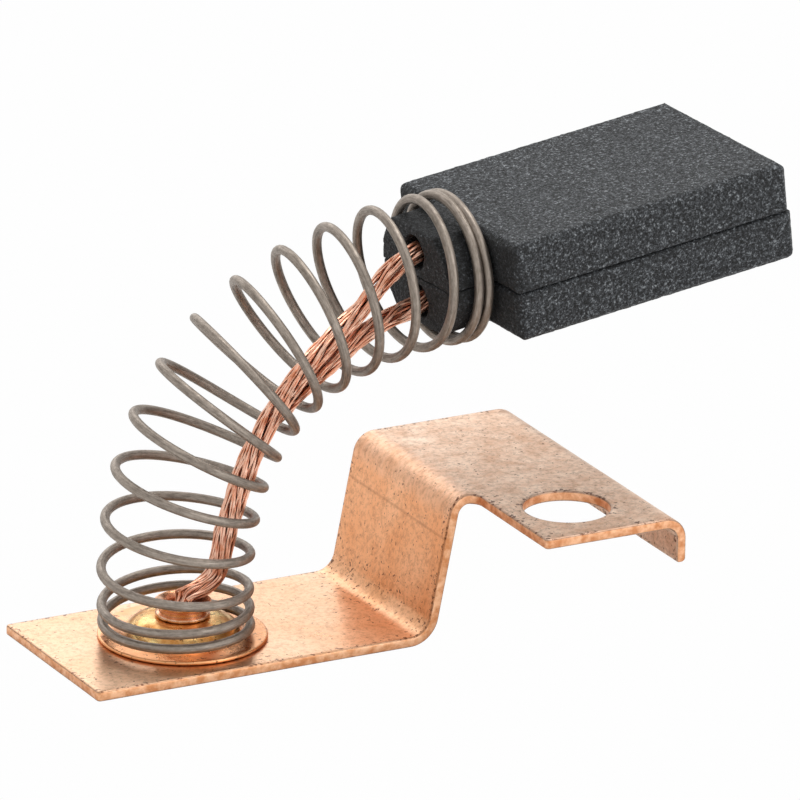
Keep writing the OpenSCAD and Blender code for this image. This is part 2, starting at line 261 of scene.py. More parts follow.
# %% Fill the blank with triangles
def filled_blank(inset, sunk):
    """Points and triangles that fill the blank between its outline and its holes."""
    loops = [splits(blank_outline(inset), BEND_GRID)] + blank_holes(inset, sunk)
    inner = splits(blank_outline(inset + RIM_GAP), GRID)
    points, edges = [], []
    for loop in loops:
        first = len(points)
        points += loop
        edges += [(first + i, first + (i + 1) % len(loop)) for i in range(len(loop))]
    wide_holes = blank_holes(inset + RIM_GAP, sunk)
    rows = int((strip_back - tab_front) / GRID)
    for s in grid_steps():
        for k in range(rows + 1):
            point = (s, tab_front + GRID / 2 + k * GRID)
            if inside(point, inner) and not any(inside(point, hole) for hole in wide_holes):
                points.append(point)
    found = delaunay_2d_cdt([Vector(p) for p in points], edges, [], 0, 1e-6)
    flat, triangles = found[0], found[2]
    kept = []
    for triangle in triangles:
        middle = sum((flat[i] for i in triangle), Vector((0, 0))) / 3
        if inside(middle, loops[0]) and not any(inside(middle, hole) for hole in loops[1:]):
            kept.append(triangle)
    return [tuple(p) for p in flat], kept


print("grid of", GRID, "mm, and", BEND_GRID, "mm in the bends")

# %% Tube over rings
def tube(rings, closed_ends=True):
    """Vertices and faces of a tube over rings of points, with flat ends."""
    count = len(rings[0])
    vertices = [point for ring in rings for point in ring]
    faces = []
    for i in range(len(rings) - 1):
        for j in range(count):
            a, b = i * count + j, i * count + (j + 1) % count
            faces.append((a, b, b + count, a + count))
    if closed_ends:
        faces.append(tuple(range(count - 1, -1, -1)))
        faces.append(tuple(range(len(vertices) - count, len(vertices))))
    return vertices, faces


print("tube takes rings with the same number of points")

# %% Outline moved outwards
def moved_out(loop, distance):
    """A closed loop with every point moved outwards along the mean of its edges' normals."""
    out = []
    for i, (x, y) in enumerate(loop):
        before, after = Vector(loop[i - 1]), Vector(loop[(i + 1) % len(loop)])
        along_edge = (Vector((x, y)) - before).normalized() + (after - Vector((x, y))).normalized()
        normal = Vector((along_edge.y, -along_edge.x)).normalized()
        out.append((x + normal.x * distance, y + normal.y * distance))
    return out


print("a moved outline keeps its points")

# %% Skins and sheared walls
# How far below the skin each ring of the rounded edge lies, and how far in from the wall
ROUNDING = [(0.0, 0.10), (0.01, 0.055), (0.035, 0.02), (0.08, 0.0)]


def strip_shell():
    """The flat strip: both skins, and side walls with rounded edges."""
    deepest = ROUNDING[0][1]
    vertices, faces = [], []
    for h, sunk in ((SHEET, 0.0), (0.0, COUNTERSINK)):
        flat, triangles = filled_blank(deepest, sunk)
        faces += [tuple(i + len(vertices) for i in t) for t in triangles]
        vertices += [(s, y, h) for s, y in flat]
    levels = [(SHEET - down, inset) for down, inset in ROUNDING]
    levels += [(down, inset) for down, inset in reversed(ROUNDING)]
    outline = splits(blank_outline(deepest), BEND_GRID)
    for k in range(3):
        rings = []
        for h, inset in levels:
            sunk = COUNTERSINK * max(0.0, 1 - 2 * h / SHEET)
            loop = moved_out(outline, deepest - inset) if k == 0 else blank_holes(inset, sunk)[k - 1]
            rings.append([(s, y, h) for s, y in loop])
        side, side_faces = tube(rings, closed_ends=False)
        faces += [tuple(i + len(vertices) for i in face) for face in side_faces]
        vertices += side
    return vertices, faces


blank_points, strip_faces = strip_shell()
print("flat strip:", len(blank_points), "points,", len(strip_faces), "faces")

# %% Fold the strip
# The lip's end is nearly a full round: a share of 1 would close it to a sharp line
LIP_FULLNESS = 0.97
# Rolled sheet is never quite flat
WAVE = 0.008


def folded_point(s, y, h):
    """Rounds the lip's end, adds the sheet's slight wave and carries a point round the bends."""
    past = max(0.0, s - stations[-1] + LIP_ROUND) / LIP_ROUND
    h = SHEET / 2 + (h - SHEET / 2) * math.sqrt(1 - LIP_FULLNESS * past * past)
    wave = WAVE * noise.noise(Vector((s / 5, y / 4, 0)))
    x, z = folded(s, h + wave)
    return x, y, z


strip_vertices = [folded_point(*v) for v in blank_points]
folded_reach = max(x for x, _, _ in strip_vertices) - foot_end
print("folded strip is", round(folded_reach, 2), "mm from end to end")

# %% Distance of each point from the nearest sheared edge
rim_points = splits(blank_outline(0), BEND_GRID) + [p for hole in blank_holes(0) for p in hole]
rims = KDTree(len(rim_points))
for i, (x, y) in enumerate(rim_points):
    rims.insert((x, y, 0), i)
rims.balance()
rim_gaps = [(rims.find((x, y, 0))[2], 0, 0) for x, y, _ in blank_points]
print("widest gap from an edge:", round(max(gap for gap, _, _ in rim_gaps), 1), "mm")

# %% [markdown]
# ## Finish of the strip
#
# Copper alloy straight from the rolling mill is a soft orange metal with fine lines along its
# length. Handling and storage dull its gloss, most of all on the shelf, and leave small dark
# specks of oxide. The foot and the shelf face up, and their paler, less orange tone is painted
# sheen: the bright light that they mirror. The sheared edges are fresh metal behind a dark burr;
# they are painted paler, partly as fresh metal and partly as a painted highlight. A painted image
# could show all that, but only at one sharpness. Noise made by nodes stays sharp from near, and
# the notes on the mesh's points tell it where the bends and the edges are.
#
# Colours are written as they look on a screen, and one function turns them into the linear
# values that the renderer needs. One function adds a shader node with its settings and links.

# %% Colours
def linear(hex_code):
    """A screen colour such as "#c98f63" as linear red, green, blue and alpha."""
    parts = [int(hex_code[i:i + 2], 16) / 255 for i in (1, 3, 5)]
    lit = [c / 12.92 if c <= 0.04045 else ((c + 0.055) / 1.055) ** 2.4 for c in parts]
    return (*lit, 1.0)


print("one screen grey as linear:", [round(c, 3) for c in linear("#808080")])

# %% Nodes
def feed(node, inputs):
    """Fills inputs of a node and links them.

    Each is a number, a colour, another node's output, or another node, which then stands for
    the first output that it uses.
    """
    for name, value in inputs.items():
        if isinstance(value, bpy.types.Node):
            value = next(output for output in value.outputs if output.enabled)
        if isinstance(value, bpy.types.NodeSocket):
            node.id_data.links.new(value, node.inputs[name])
        else:
            node.inputs[name].default_value = value


def add_node(tree, kind, inputs=None, stops=(), **settings):
    """Adds a node of Blender's type "ShaderNode" + kind, with settings, colour stops and inputs."""
    made = tree.nodes.new("ShaderNode" + kind)
    for name, value in settings.items():
        setattr(made, name, value)
    for i, (place, colour) in enumerate(stops):
        elements = made.color_ramp.elements
        element = elements[i] if i < 2 else elements.new(place)
        element.position = place
        element.color = linear(colour)
    feed(made, inputs or {})
    return made


def empty_tree(owner):
    """The node tree of a material or a world, with nothing in it."""
    owner.use_nodes = True
    owner.node_tree.nodes.clear()
    return owner.node_tree


print("node tools: feed, add_node, empty_tree")

# %% Start of a finish
def new_finish(name, **shader_inputs):
    """A material, what adds nodes to it, its shader, and the place on the piece in millimetres."""
    material = bpy.data.materials.new(name)
    add = partial(add_node, empty_tree(material))
    shader = add("BsdfPrincipled", shader_inputs)
    add("OutputMaterial", {"Surface": shader})
    place = add("TexCoord").outputs["Object"]
    in_mm = add("VectorMath", {0: place, 3: 1 / MM}, operation="SCALE")
    return material, add, shader, in_mm.outputs["Vector"]


print("each finish starts from a shader and a place in mm")

# %% Copper sheet and the notes on its points
# Rolled copper alloy. The rollers leave a fine grain, so its warm mirror light comes back soft.
copper_sheet, add, shader, mm = new_finish("rolled_copper_sheet", Metallic=1.0)
blank = add("Attribute", attribute_name="blank").outputs["Vector"]
run, _, depth = add("SeparateXYZ", {0: blank}).outputs[0:3]
rim_note = add("Attribute", attribute_name="rim").outputs["Vector"]
rim = add("SeparateXYZ", {0: rim_note}).outputs["X"]
print("the sheet's finish reads the place on the blank and the gap from an edge")

# %% Clouds and grain of the sheet
# Tarnish lies in clouds about 3 mm wide, so 0.3 of them fit in a millimetre
drawn_out = add("VectorMath", {0: blank, 1: (0.7, 1, 1)}, operation="MULTIPLY")
clouds = add("TexNoise", {"Vector": drawn_out, "Scale": 0.3, "Detail": 6.0, "Roughness": 0.62})
# The rolled grain is some hundredths of a millimetre; 0.2 mm is the finest that shows
grain = add("TexNoise", {"Vector": blank, "Scale": 5.0, "Detail": 4.0, "Roughness": 0.7})
# Handling leaves patches of about 1 mm
patchy = add("TexNoise", {"Vector": blank, "Scale": 0.9, "Detail": 8.0, "Roughness": 0.68})
# Painted sheen: the foot's and the shelf's ramps are paler and less orange than the riser's
pale = add("ValToRGB", {0: clouds}, [(0.34, "#dcab82"), (0.66, "#ecc6a5")])
orange = add("ValToRGB", {0: clouds}, [(0.34, "#e8a06c"), (0.66, "#f8bd90")])
dull = add("ValToRGB", {0: patchy}, [(0.36, "#dcb598"), (0.66, "#f4dac4")])
print("three tones: pale foot, orange riser, dull shelf")

# %% Tone along the sheet
# The riser keeps the metal's orange. The foot and the shelf face up, and are painted paler and
# less orange: painted sheen of the bright light that they mirror. The shelf is paler and duller still
on_riser = add("MapRange", {"Value": run, "From Min": stations[1] - 0.5, "From Max": stations[2] + 0.2})
on_shelf = add("MapRange", {"Value": run, "From Min": stations[3] - 0.5, "From Max": stations[4] + 0.4})
warm = add("Mix", {0: on_riser, 6: pale, 7: orange}, data_type="RGBA")
tone = add("Mix", {0: on_shelf, 6: warm, 7: dull}, data_type="RGBA")
shade = add("ValToRGB", {0: grain}, [(0.37, "#b5aaa1"), (0.55, "#ffffff")])
tone = add("Mix", {0: 0.5, 6: tone, 7: shade}, data_type="RGBA", blend_type="MULTIPLY")
print("the shelf's tone starts", round(stations[4], 2), "mm along the blank")

# %% Gaps from the press line, the lower bend and the middle of the sheet
# A press tool left a fine line across the riser, below its upper bend
LINE_BELOW_BEND = 1.25
# Specks are thickest a little before the lower bend's end
SPECKS_BEFORE_END = 0.7
gaps = []
for value, middle in ((run, stations[3] - LINE_BELOW_BEND), (run, stations[2] - SPECKS_BEFORE_END),
                      (depth, SHEET / 2)):
    offset = add("Math", {0: value, 1: middle}, operation="SUBTRACT")
    gaps.append(add("Math", {0: offset}, operation="ABSOLUTE"))
gap_from_line, gap_from_bend, gap_from_middle = gaps
print("press line", round(stations[3] - LINE_BELOW_BEND, 2), "mm along the blank")

# %% Press line on the riser
pressed = add("MapRange", {
    "Value": gap_from_line, "From Min": 0.03, "From Max": 0.1, "To Min": 1, "To Max": 0})
line_tint = add("Math", {0: pressed, 1: 0.3}, operation="MULTIPLY")
tone = add("Mix", {0: line_tint, 6: tone, 7: linear("#8a5430")}, data_type="RGBA")
print("press line fades 0.1 mm from its middle")

# %% Specks of oxide
# Specks are 0.1 to 0.2 mm: few on the flats, many in the lower bend and along the sheared edges
specks = add("TexNoise", {"Vector": mm, "Scale": 5.0, "Detail": 2.0, "Roughness": 0.55})
in_bend = add("MapRange", {
    "Value": gap_from_bend, "From Min": 0.4, "From Max": 2.4, "To Min": 0.06, "To Max": 0})
by_rim = add("MapRange", {"Value": rim, "From Min": 0.12, "From Max": 0.5, "To Min": 0.1, "To Max": 0})
in_patches = add("MapRange", {
    "Value": patchy, "From Min": 0.4, "From Max": 0.65, "To Min": -0.02, "To Max": 0.045})
likely = add("Math", {0: in_bend, 1: by_rim}, operation="MAXIMUM")
speckled = add("Math", {0: likely, 1: specks}, operation="ADD")
spots = add("Math", {0: speckled, 1: in_patches}, operation="ADD")
dark = add("MapRange", {"Value": spots, "From Min": 0.682, "From Max": 0.715, "To Min": 0, "To Max": 0.85})
tone = add("Mix", {0: dark, 6: tone, 7: linear("#5a3524")}, data_type="RGBA")
print("specks are drawn 0.1 to 0.2 mm wide")

# %% Sheared edges
# The walls are fresh metal, with a dark burr line where they meet the skins. The walls' paler
# tone is partly fresh metal and partly a painted highlight along the cut edge
wall = add("MapRange", {
    "Value": gap_from_middle, "From Min": 0.17, "From Max": 0.21, "To Min": 1, "To Max": 0})
at_rim = add("MapRange", {"Value": rim, "From Min": 0.02, "From Max": 0.06, "To Min": 1, "To Max": 0})
fresh = add("Math", {0: wall, 1: at_rim}, operation="MULTIPLY")
near_rim = add("MapRange", {"Value": rim, "From Min": 0.0, "From Max": 0.13, "To Min": 0.85, "To Max": 0})
broken = add("MapRange", {"Value": grain, "From Min": 0.35, "From Max": 0.6, "To Min": 0.3, "To Max": 1})
burr = add("Math", {0: near_rim, 1: broken}, operation="MULTIPLY")
tone = add("Mix", {0: burr, 6: tone, 7: linear("#6b4433")}, data_type="RGBA")
# Shearing tears the wall in stretches of about 0.5 mm
torn = add("TexNoise", {"Vector": mm, "Scale": 2.2, "Detail": 4.0, "Roughness": 0.6})
# Painted highlight: the pale wall tone also stands in for light caught by the cut edge
bare_and_highlit_wall = add("ValToRGB", {0: torn}, [(0.38, "#d99564"), (0.62, "#fcc9a0")])
highlit_wall_share = add("Math", {0: fresh, 1: 0.9}, operation="MULTIPLY")
tone = add("Mix", {0: highlit_wall_share, 6: tone, 7: bare_and_highlit_wall}, data_type="RGBA")
feed(shader, {"Base Color": tone})
print("edges are coloured within 0.13 mm of the cut")

# %% Gloss and relief of the sheet
# Polished copper has a roughness near 0.2 and mill finish near 0.4; the foot is the brightest
cloud_gloss = add("MapRange", {
    "Value": clouds, "From Min": 0.3, "From Max": 0.7, "To Min": 0.26, "To Max": 0.36})
riser_gloss = add("Math", {0: on_riser, 1: 0.1, 2: cloud_gloss}, operation="MULTIPLY_ADD")
shelf_gloss = add("Math", {0: on_shelf, 1: 0.06, 2: riser_gloss}, operation="MULTIPLY_ADD")
gloss = add("Math", {0: fresh, 1: 0.1, 2: shelf_gloss}, operation="MULTIPLY_ADD")
feed(shader, {"Roughness": gloss})
# Roller lines run along the sheet: 0.1 mm wide and some millimetres long
drawn_lines = add("VectorMath", {0: blank, 1: (0.15, 9.0, 1)}, operation="MULTIPLY")
lines = add("TexNoise", {"Vector": drawn_lines, "Scale": 1.0, "Detail": 4.0, "Roughness": 0.6})
low_line = add("Math", {0: grain, 1: pressed}, operation="SUBTRACT")
height = add("Math", {0: lines, 1: 0.5, 2: low_line}, operation="MULTIPLY_ADD")
rough_skin = add("Bump", {"Height": height, "Strength": 1.0, "Distance": 0.007 * MM})
feed(shader, {"Normal": rough_skin})
print("relief of 0.007 mm")

# %% The strip
def mesh_object(name, vertices_mm, faces, material, slot, smooth_angle=35, notes=None):
    """A closed mesh from points in millimetres, smooth but for edges sharper than the angle.

    The notes give each point a vector that its material can read, under a name.
    """
    mesh = bpy.data.meshes.new(name)
    mesh.from_pydata([tuple(c * MM for c in v) for v in vertices_mm], [], faces)
    for note, vectors in (notes or {}).items():
        kept = mesh.attributes.new(note, "FLOAT_VECTOR", "POINT")
        kept.data.foreach_set("vector", [c for vector in vectors for c in vector])
    piece = bpy.data.objects.new(name, mesh)
    bpy.context.scene.collection.objects.link(piece)
    work = bmesh.new()
    work.from_mesh(mesh)
    bmesh.ops.remove_doubles(work, verts=work.verts, dist=0.0005 * MM)
    bmesh.ops.recalc_face_normals(work, faces=work.faces)
    for face in work.faces:
        face.smooth = True
    for edge in work.edges:
        edge.smooth = edge.calc_face_angle(0) < math.radians(smooth_angle)
    work.to_mesh(mesh)
    work.free()
    mesh.materials.append(material)
    return piece


strip = mesh_object("copper_strip", strip_vertices, strip_faces, copper_sheet, "copper_sheet",
                    notes={"blank": blank_points, "rim": rim_gaps})
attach(strip, "terminal")
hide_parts("terminal_strip")
print("strip made of", len(strip.data.polygons), "faces")

# %% [markdown]
# ## Spring seat and eyelet
#
# The seat is a small pressed cap that centres the spring, and the eyelet is a hollow rivet
# that holds the cap and the ropes. Stacked cylinders would show hard steps where the press
# leaves soft ones. Both pieces are round, so each is an outline turned on a lathe, and the
# outline holds the rim's fold, the dome's arc and the eyelet's rolled lip.

# %% Seat outline
# Pieces that rest on one another keep this gap
GAP = 0.02
CAP_SHEET = 0.2
RIM_EDGE = 0.09
DOME_FOOT = 2.9
DOME_FLAT = 1.5
BARREL = 1.15
seat_low, seat_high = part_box("spring_seat")
foot_top = foot_z + SHEET
under = foot_top + GAP
rim_radius = (seat_high.x - seat_low.x) / 2 / MM
rim_top = foot_top + CAP_SHEET
dome_top = seat_high.z / MM
dome_height = dome_top - rim_top


def dome(foot, flat, base, height, steps=14):
    """The dome's outline from its foot inwards: an arc that is level at the top."""
    radius = ((foot - flat) ** 2 + height ** 2) / (2 * height)
    sweep = math.asin((foot - flat) / radius)
    angles = [sweep * (1 - i / steps) for i in range(steps + 1)]
    return [(flat + radius * math.sin(a), base + height - radius * (1 - math.cos(a))) for a in angles]


seat_outline = ([(rim_radius - 0.1, under)]
                + arc((rim_radius - RIM_EDGE, (under + rim_top) / 2), RIM_EDGE, -70, 70, 5)
                + [(rim_radius - 0.12, rim_top), (DOME_FOOT + 0.12, rim_top),
                   (DOME_FOOT + 0.03, rim_top + 0.02)]
                + dome(DOME_FOOT, DOME_FLAT, rim_top, dome_height)[1:]
                + [(BARREL + 0.1, dome_top - 0.005), (BARREL + 0.05, dome_top - 0.05),
                   (BARREL + 0.05, dome_top - CAP_SHEET)]
                + dome(DOME_FOOT - CAP_SHEET, DOME_FLAT - 0.1, under, dome_height)[::-1])
print("rim radius", round(rim_radius, 2), "mm, dome", round(dome_height, 2), "mm high")

# %% Eyelet outline
WALL = 0.22
FLARE = 0.45
mouth_low, mouth_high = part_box("eyelet")
mouth_top = mouth_high.z / MM
mouth_radius = (mouth_high.x - mouth_low.x) / 2 / MM
lip = WALL / 2
flare = mouth_top - FLARE
eyelet_outline = ([(BARREL - WALL + 0.14, foot_z + 0.01), (BARREL + 0.14, foot_z + 0.01),
                   (BARREL, foot_z + SHEET / 2), (BARREL, dome_top + GAP)]
                  + arc((BARREL + 0.08, dome_top + GAP + 0.1), 0.1, -80, 80, 6)
                  + [(BARREL, dome_top + 0.24), (BARREL, flare), (BARREL + 0.04, flare + 0.12)]
                  + arc((mouth_radius - lip, mouth_top - lip), lip, -45, 135, 10)
                  + [(BARREL - WALL + 0.04, flare + lip + 0.12), (BARREL - WALL, flare + lip),
                     (BARREL - WALL, foot_z + SHEET / 2)])
print("mouth radius", round(mouth_radius, 2), "mm")

# %% [markdown]
# ## Finish of the cap and the eyelet
#
# The cap is pressed from polished copper with a thin brassy skin, and the eyelet is rolled from
# copper tube, so both mirror more than the strip does. One even metal would look too
# new. Blotches, pits and shallow dents break up the mirrored light as handling does.

# %% Gilt copper cap
# Copper with a thin brassy skin, pressed from polished sheet, so it mirrors softly, more golden
# towards its crown, with stains of 1 mm and pits of 0.3 mm.
gilt_cap, add, shader, mm = new_finish("gilt_copper_cap", Metallic=1.0)
blotches = add("TexNoise", {"Vector": mm, "Scale": 1.0, "Detail": 5.0, "Roughness": 0.65})
golden = add("ValToRGB", {0: blotches}, [(0.36, "#dc9650"), (0.52, "#f4c480"), (0.68, "#fbdf9c")])
height_mm = add("SeparateXYZ", {0: mm}).outputs["Z"]
crown = add("MapRange", {"Value": height_mm, "From Min": rim_top + 0.05, "From Max": rim_top + 0.3})
gilt = add("Mix", {0: crown, 6: linear("#e5a573"), 7: golden}, data_type="RGBA")
pit_noise = add("TexNoise", {"Vector": mm, "Scale": 3.2, "Detail": 3.0, "Roughness": 0.6})
pits = add("MapRange", {"Value": pit_noise, "From Min": 0.61, "From Max": 0.67, "To Min": 0, "To Max": 0.8})
pitted = add("Mix", {0: pits, 6: gilt, 7: linear("#5a3524")}, data_type="RGBA")
feed(shader, {"Base Color": pitted})
stained = add("MapRange", {
    "Value": blotches, "From Min": 0.3, "From Max": 0.7, "To Min": 0.36, "To Max": 0.22})
feed(shader, {"Roughness": stained})
dents = add("TexNoise", {"Vector": mm, "Scale": 2.0, "Detail": 4.0, "Roughness": 0.6})
dimples = add("Bump", {"Height": dents, "Strength": 1.0, "Distance": 0.03 * MM})
feed(shader, {"Normal": dimples})
print("cap turns golden within 0.3 mm above its rim")

# %% Rolled eyelet
# Copper tube, polished where the rivet tool rolled its lip, with rub marks of 0.5 mm
eyelet_metal, add, shader, mm = new_finish("rolled_eyelet", Metallic=1.0, Roughness=0.27)
rub = add("TexNoise", {"Vector": mm, "Scale": 2.2, "Detail": 4.0, "Roughness": 0.6})
rubbed = add("ValToRGB", {0: rub}, [(0.36, "#dd9f70"), (0.64, "#f6cbb0")])
feed(shader, {"Base Color": rubbed})
print("eyelet's rub marks are 0.5 mm long")

# %% The cap and the eyelet
def lathe(profile, centre, steps=96):
    """Turns a closed outline of (radius, height) pairs round an upright axis."""
    count = len(profile)
    vertices, faces = [], []
    for i in range(steps):
        angle = math.tau * i / steps
        vertices += [(centre[0] + r * math.cos(angle), centre[1] + r * math.sin(angle), z)
                     for r, z in profile]
        for j in range(count):
            a, b = i * count, (i + 1) % steps * count
            k = (j + 1) % count
            faces.append((a + j, b + j, b + k, a + k))
    return vertices, faces


cap = mesh_object("spring_cap", *lathe(seat_outline, (seat_x, seat_y)), gilt_cap, "copper_cap")
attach(cap, "terminal")
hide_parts("spring_seat")
rivet = mesh_object("eyelet_rivet", *lathe(eyelet_outline, (seat_x, seat_y)), eyelet_metal, "eyelet_brass")
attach(rivet, "terminal")
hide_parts("eyelet")
print("cap has", len(cap.data.polygons), "faces, eyelet", len(rivet.data.polygons))

# %% [markdown]
# ## The curves of the spring and the ropes
#
# Spring and ropes follow curves in one upright plane through the seat's axis, which swings by
# 2.9 degrees from the strip. Blender's curve objects could draw them, but the wire has to be
# wound round its curve by running length. So a small class answers where each length lies.

# %% Place of the block
SWING = math.radians(2.9)
PITCH = math.radians(6.7)
BLOCK_REACH = 15.1
BLOCK_HEIGHT = 16.9
NECK = 2.4
shoulder = Vector((BLOCK_REACH, foot_z + BLOCK_HEIGHT))
along = Vector((math.cos(PITCH), math.sin(PITCH)))


def placed(point):
    """From the upright plane's frame to the object's."""
    x, y, z = point
    return (seat_x + x * math.cos(SWING) - y * math.sin(SWING),
            seat_y + x * math.sin(SWING) + y * math.cos(SWING), z)


print("shoulder of the block at", [round(c, 2) for c in placed((shoulder.x, 0, shoulder.y))])

# %% Curve tools
def bezier(points, t):
    """A point on the curve that has these control points."""
    while len(points) > 1:
        points = [a.lerp(b, t) for a, b in zip(points, points[1:])]
    return points[0]


class Line:
    """A curve in the upright plane, asked for by its running length."""

    def __init__(self, curve, points, steps):
        self.curve, self.points = curve, points
        self.runs = [0.0]
        for i in range(steps):
            piece = curve(points, (i + 1) / steps) - curve(points, i / steps)
            self.runs.append(self.runs[-1] + piece.length)
        self.total = self.runs[-1]

    def share(self, s):
        """The share of the curve at running length s."""
        low, high = 0, len(self.runs) - 1
        while high - low > 1:
            mid = (low + high) // 2
            low, high = (mid, high) if self.runs[mid] <= s else (low, mid)
        part = (s - self.runs[low]) / (self.runs[high] - self.runs[low])
        return min(1.0, max(0.0, (low + part) / (len(self.runs) - 1)))

    def at(self, s):
        """The point and the direction at running length s."""
        t = self.share(s)
        ahead = self.curve(self.points, min(1, t + 0.001)) - self.curve(self.points, max(0, t - 0.001))
        return self.curve(self.points, t), ahead.normalized()


print("curve tools: bezier, Line")

# %% [markdown]
# ## The spring
#
# The spring pushes the block against the motor. It is a round steel wire, wound left-handed:
# closed turns sit on the seat and grip the neck, and ten open turns lie between them. A screw
# modifier winds a straight coil, and this one bends through about eighty degrees. So its wire
# is placed turn by turn round a curved middle line, which leaves the seat upright and enters
# the neck along the block.

# %% Middle line of the spring
WIRE = 0.5
WIRE_SEEN = 0.47
COIL = 7.1
TURN_GAP = 0.04
SEAT_TURNS = 2
NECK_TURNS = 1.3
OPEN_TURNS = 10
WIRE_START = 252
WIRE_CUT = 0.6
# Control points that lift the middle line off the seat, and how far one pulls it into the neck
SEAT_PULL = [(-0.35, 0), (-0.35, 2.7), (-2.85, 16.8)]
NECK_PULL = 2.5
closed_pitch = WIRE + TURN_GAP
base = rim_top + GAP + WIRE / 2
neck_stop = shoulder - (WIRE / 2 + GAP) * along
spring_line = Line(bezier, [Vector((x, base + z)) for x, z in SEAT_PULL]
                   + [neck_stop - NECK_PULL * along, neck_stop], 80)
turns = SEAT_TURNS + NECK_TURNS + OPEN_TURNS + 2
open_pitch = (spring_line.total - (SEAT_TURNS + NECK_TURNS + 1) * closed_pitch) / (OPEN_TURNS + 1)
print("middle line is", round(spring_line.total, 1), "mm long, open pitch", round(open_pitch, 2))

# %% Climb of the wire
def end_climb(t, closed):
    """How far the wire has climbed t turns from an end with that many closed turns."""
    u = t - closed
    if u < 0:
        return closed_pitch * t
    if u < 1:
        return closed_pitch * t + (open_pitch - closed_pitch) * u * u / 2
    return closed_pitch * (closed + 0.5) + open_pitch * (u - 0.5)


def climb(t):
    """How far the wire has climbed after t turns. The first turn rises faster than a closed one."""
    if t < SEAT_TURNS:
        return closed_pitch * SEAT_TURNS * max(0.0, t - WIRE_CUT) / (SEAT_TURNS - WIRE_CUT)
    if t < turns / 2:
        return end_climb(t, SEAT_TURNS)
    return spring_line.total - end_climb(turns - t, NECK_TURNS)


print("wire climbs", round(climb(turns), 1), "mm in", round(turns - WIRE_CUT, 1), "turns")

# %% Rings of the wire
def wire_at(t):
    """The middle of the wire after t turns, and the middle line's point beside it."""
    c, d = spring_line.at(climb(t))
    angle = math.radians(360 * t - WIRE_START)
    middle = Vector((c.x, 0, c.y))
    out = Vector((math.cos(angle) * d.y, -math.sin(angle), -math.cos(angle) * d.x))
    return middle + COIL / 2 * out, middle


def spring_rings(per_turn=60, sides=16):
    """Rings of points round the wire, and notes on how far along and where round it each lies."""
    steps = round((turns - WIRE_CUT) * per_turn)
    step = math.pi * COIL / per_turn
    around = [math.tau * j / sides for j in range(sides)]
    rings, notes = [], []
    for i in range(steps + 1):
        t = WIRE_CUT + (turns - WIRE_CUT) * i / steps
        point, middle = wire_at(t)
        ahead = (wire_at(min(turns, t + 0.01))[0] - wire_at(max(WIRE_CUT, t - 0.01))[0]).normalized()
        out = point - middle
        out = (out - out.dot(ahead) * ahead).normalized()
        side = ahead.cross(out)
        rings.append([placed(point + WIRE_SEEN / 2 * (math.cos(a) * out + math.sin(a) * side))
                      for a in around])
        notes += [(i * step, math.cos(a), math.sin(a)) for a in around]
    return rings, notes


wire_rings, wire_notes = spring_rings()
print("wire is about", round(wire_notes[-1][0]), "mm long")

# %% [markdown]
# ## Finish of the spring
#
# Wire drawn through a die keeps fine marks along its length, and a thin film of oxide makes it
# mottled. Noise in the object's space would cut across the wire, so it is laid along the wire
# instead, by the notes on its points.

# %% Drawn steel
# Carbon steel wire drawn through a die, with a thin brown oxide: satin grey with streaks
drawn_steel, add, shader, mm = new_finish("drawn_spring_steel", Metallic=1.0)
wire_run = add("Attribute", attribute_name="run").outputs["Vector"]
# Die marks are 2 mm long, and 0.1 mm wide where real ones are finer
along_wire = add("VectorMath", {0: wire_run, 1: (0.5, 3.0, 3.0)}, operation="MULTIPLY")
streaks = add("TexNoise", {"Vector": along_wire, "Scale": 1.0, "Detail": 5.0, "Roughness": 0.65})
# The oxide lies in spots 0.4 mm long and 0.15 mm wide
round_wire = add("VectorMath", {0: wire_run, 1: (2.5, 1.5, 1.5)}, operation="MULTIPLY")
mottle = add("TexNoise", {"Vector": round_wire, "Scale": 1.0, "Detail": 6.0, "Roughness": 0.7})
both = add("Math", {0: streaks, 1: mottle}, operation="ADD")
half = add("Math", {0: both, 1: 0.5}, operation="MULTIPLY")
grey = add("ValToRGB", {0: half}, [(0.36, "#736960"), (0.62, "#aca196")])
feed(shader, {"Base Color": grey})
satin = add("MapRange", {"Value": mottle, "From Min": 0.3, "From Max": 0.7, "To Min": 0.58, "To Max": 0.46})
feed(shader, {"Roughness": satin})
marks = add("Bump", {"Height": half, "Strength": 1.0, "Distance": 0.012 * MM})
feed(shader, {"Normal": marks})
print("steel has marks 0.012 mm deep")

# %% The spring
spring = mesh_object("coil_spring", *tube(wire_rings), drawn_steel, "spring_wire",
                     notes={"run": wire_notes})
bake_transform(spring)
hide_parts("spring")
print("spring has", len(spring.data.polygons), "faces")

# %% [markdown]
# ## The copper ropes
#
# The two ropes carry the current past the spring. They leave the eyelet side by side, rise
# inside the coil and part to enter the neck one above the other. A smooth rod with a bump
# pattern would look like a drawn bar, so each rope is laid up from bundles of fine wire. Every
# wire is a thin tube that winds round its bundle, while the bundle winds the other way round
# the rope, as in real rope.

# %% Path of the ropes
PLUG_FACE = 1.8
# The ropes lie over the eyelet's mouth before they rise: millimetres from its middle and top
OVER_MOUTH = [(0, -0.2), (0.5, 0.22), (1.2, 0.5), (1.66, 1.05)]
# After that come shares of the way from the mouth to the neck, outwards and up
WAY = [(0.143, 0.13), (0.155, 0.23), (0.185, 0.343), (0.243, 0.472), (0.333, 0.602),
       (0.461, 0.717), (0.628, 0.81), (0.803, 0.891), (0.93, 0.958)]
rope_start = foot_z + 0.1
hole_mouth = shoulder - NECK * along


def through(points, t):
    """A point on the smooth curve that passes through every point."""
    last = len(points) - 1
    i = min(last - 1, int(t * last))
    a, b, c, d = points[max(0, i - 1)], points[i], points[i + 1], points[min(last, i + 2)]
    return bezier([b, b + (c - a) / 6, c - (d - b) / 6, c], t * last - i)


